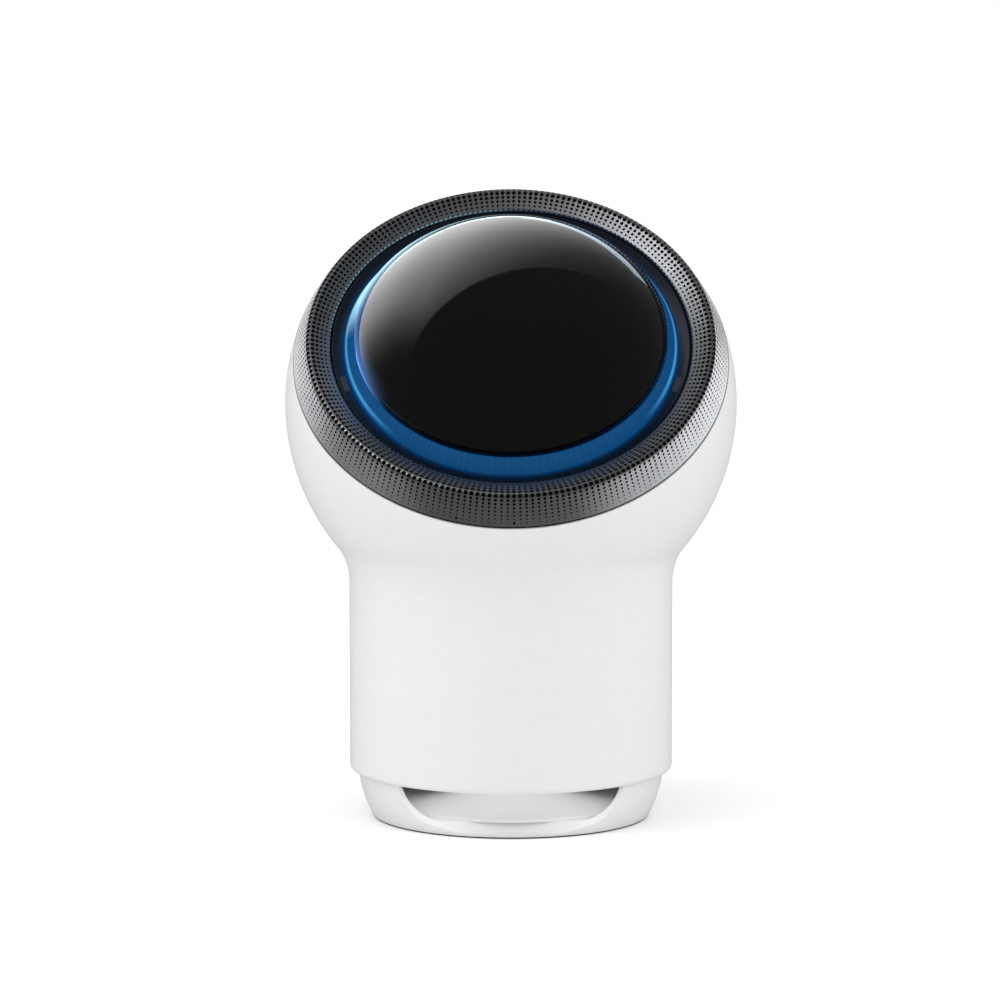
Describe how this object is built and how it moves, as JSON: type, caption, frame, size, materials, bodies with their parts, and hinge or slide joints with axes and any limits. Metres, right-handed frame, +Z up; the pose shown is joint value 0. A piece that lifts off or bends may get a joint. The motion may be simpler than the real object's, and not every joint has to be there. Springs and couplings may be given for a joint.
{
  "type": "smart speaker",
  "caption": "Tabletop smart speaker: tilted ball head with perforated turning ring, lit collar and pressing dome, on a cylinder whose foot has a front sound slot.",
  "frame": {"origin": "middle of the flat underside of the rubber pad, where the speaker rests", "axes": "+Z up, -Y is the front that the head leans towards, +X to the right seen from the front"},
  "size_m": [0.122, 0.1184, 0.1698],
  "materials": {
    "white_body": "satin white moulding",
    "foot_white": "satin white moulding",
    "ring_metal": "fine satin gunmetal",
    "dome_gloss": "polished",
    "blue_light": "translucent, lit blue",
    "bezel_dark": "smooth",
    "clear_window": "translucent",
    "black_cloth": "fine woven",
    "black_plastic": "fine grain",
    "foot_rubber": "matte",
    "soft_rubber": "matte",
    "jack_black": "moulded",
    "zinc_steel": "zinc plated",
    "screw_steel": "zinc plated",
    "black_steel": "powder coated",
    "ferrite": "sintered",
    "copper": "enamelled wire",
    "paper_cone": "pressed pulp",
    "yellow_cloth": "resin-treated cloth",
    "foam": "closed-cell foam",
    "board_green": "solder mask",
    "tin": "tinned",
    "led_white": "clear cap",
    "white_slip": "slippery",
    "cable_white": "flat ribbon cable"
  },
  "bodies": {
    "base": {"front_housing": "white_body", "rear_housing": "white_body", "foot_shell": "foot_white", "base_plate": "zinc_steel", "rubber_pad": "foot_rubber", "base_screws": "screw_steel", "acoustic_deflector": "foot_white", "baffle": "black_plastic", "baffle_screws": "screw_steel", "driver_gasket": "foam", "driver_frame": "black_steel", "driver_screws": "screw_steel", "motor_plate": "zinc_steel", "magnet": "ferrite", "yoke": "zinc_steel", "surround": "soft_rubber", "spider": "yellow_cloth", "main_board": "board_green", "shield_can": "tin", "capacitors": "jack_black", "board_screws": "screw_steel", "dc_jack": "jack_black", "jack_pin": "tin", "flat_cable": "cable_white", "head_chassis": "black_plastic", "chassis_screws": "screw_steel", "glide_ring": "white_slip", "head_board": "board_green", "leds": "led_white", "microphones": "tin", "encoder_sensor": "jack_black", "tact_switch": "jack_black", "guide_bushes": "white_slip", "light_guide": "blue_light", "bezel": "bezel_dark", "sensor_windows": "clear_window"},
    "ring": {"volume_ring": "ring_metal", "ring_carrier": "black_plastic", "acoustic_mesh": "black_cloth", "code_ring": "tin"},
    "dome_unit": {"dome": "dome_gloss", "dome_carrier": "black_plastic", "switch_plunger": "white_slip"},
    "cone_unit": {"speaker_cone": "paper_cone", "dust_cap": "paper_cone", "voice_coil": "copper"}
  },
  "joints": [
    {"name": "ring_turn", "type": "hinge", "parent": "base", "child": "ring", "pos_m": [0, 0, 0.1124], "axis": [0, -0.7071, 0.7071], "continuous": true},
    {"name": "dome_press", "type": "slide", "parent": "base", "child": "dome_unit", "axis": [0, 0.7071, -0.7071], "range_m": [0, 0.0008], "stiffness_N_per_m": 2500, "springref_m": -0.0006},
    {"name": "cone_stroke", "type": "slide", "parent": "base", "child": "cone_unit", "axis": [0, 0, 1], "range_m": [-0.0025, 0.0025], "stiffness_N_per_m": 1500, "deforming": ["surround", "spider"]}
  ]
}
